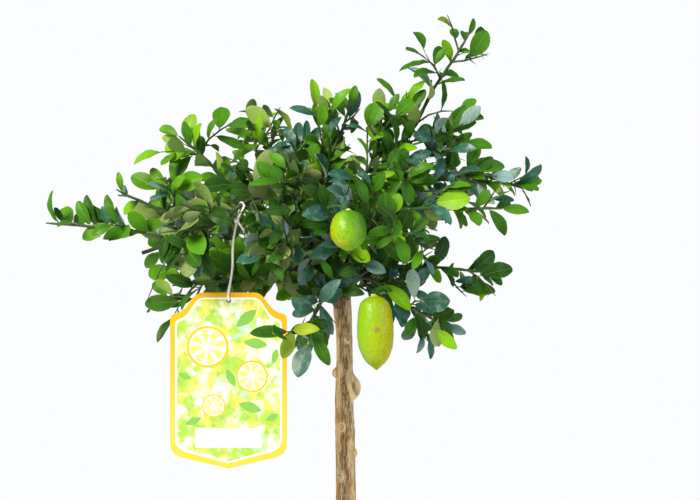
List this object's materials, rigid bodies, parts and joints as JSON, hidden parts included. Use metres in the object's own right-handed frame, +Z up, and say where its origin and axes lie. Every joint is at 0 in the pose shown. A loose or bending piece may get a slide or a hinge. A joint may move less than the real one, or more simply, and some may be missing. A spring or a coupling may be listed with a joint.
{
  "type": "potted finger lime tree",
  "caption": "Young finger lime grown as a standard: a bare stem, an airy crown of small glossy leaves with hanging fruit and a hang tag on a string, standing in a plain clay pot",
  "frame": {"origin": "centre of the pot's flat underside, where the plant stands", "axes": "+Z up the stem; -Y towards the side of the crown that carries the hang tag; +X to that side's right"},
  "size_m": [0.423, 0.3372, 0.7501],
  "materials": {
    "terracotta": "matt fired clay, unglazed",
    "compost": "loose moist bark compost",
    "bark": "tan bark with dark fissures and healed scars",
    "green_bark": "smooth dark green young bark",
    "foliage": "waxy green leaves with paler undersides, on thin green twigs; yellow-green pebbled fruit",
    "printed_card": "smooth printed card with a yellow border",
    "string": "thin white twisted string"
  },
  "bodies": {
    "root": {"bough_back_left": "green_bark", "bough_back_low": "green_bark", "bough_back_middle": "green_bark", "bough_back_right": "green_bark", "bough_crest_left": "green_bark", "bough_crest_middle": "green_bark", "bough_front_inner": "green_bark", "bough_front_left": "green_bark", "bough_front_middle": "green_bark", "bough_front_right": "green_bark", "bough_leader": "green_bark", "bough_left_long": "green_bark", "bough_left_shoulder": "green_bark", "bough_low_spray": "green_bark", "bough_lower_left": "green_bark", "bough_lower_right": "green_bark", "bough_right_lower": "green_bark", "bough_right_middle": "green_bark", "bough_right_shoulder": "green_bark", "bough_right_upper": "green_bark", "bough_top_middle": "green_bark", "bough_top_right": "green_bark", "bough_upper_left": "green_bark", "foliage_back_left": "foliage", "foliage_back_low": "foliage", "foliage_back_middle": "foliage", "foliage_back_right": "foliage", "foliage_crest_left": "foliage", "foliage_crest_middle": "foliage", "foliage_front_inner": "foliage", "foliage_front_left": "foliage", "foliage_front_middle": "foliage", "foliage_front_right": "foliage", "foliage_leader": "foliage", "foliage_left_long": "foliage", "foliage_left_shoulder": "foliage", "foliage_low_spray": "foliage", "foliage_lower_left": "foliage", "foliage_lower_right": "foliage", "foliage_right_lower": "foliage", "foliage_right_middle": "foliage", "foliage_right_shoulder": "foliage", "foliage_right_upper": "foliage", "foliage_top_middle": "foliage", "foliage_top_right": "foliage", "foliage_upper_left": "foliage", "hang_tag": "printed_card", "pot": "terracotta", "soil": "compost", "tag_string": "string", "trunk": "bark"}
  },
  "joints": []
}
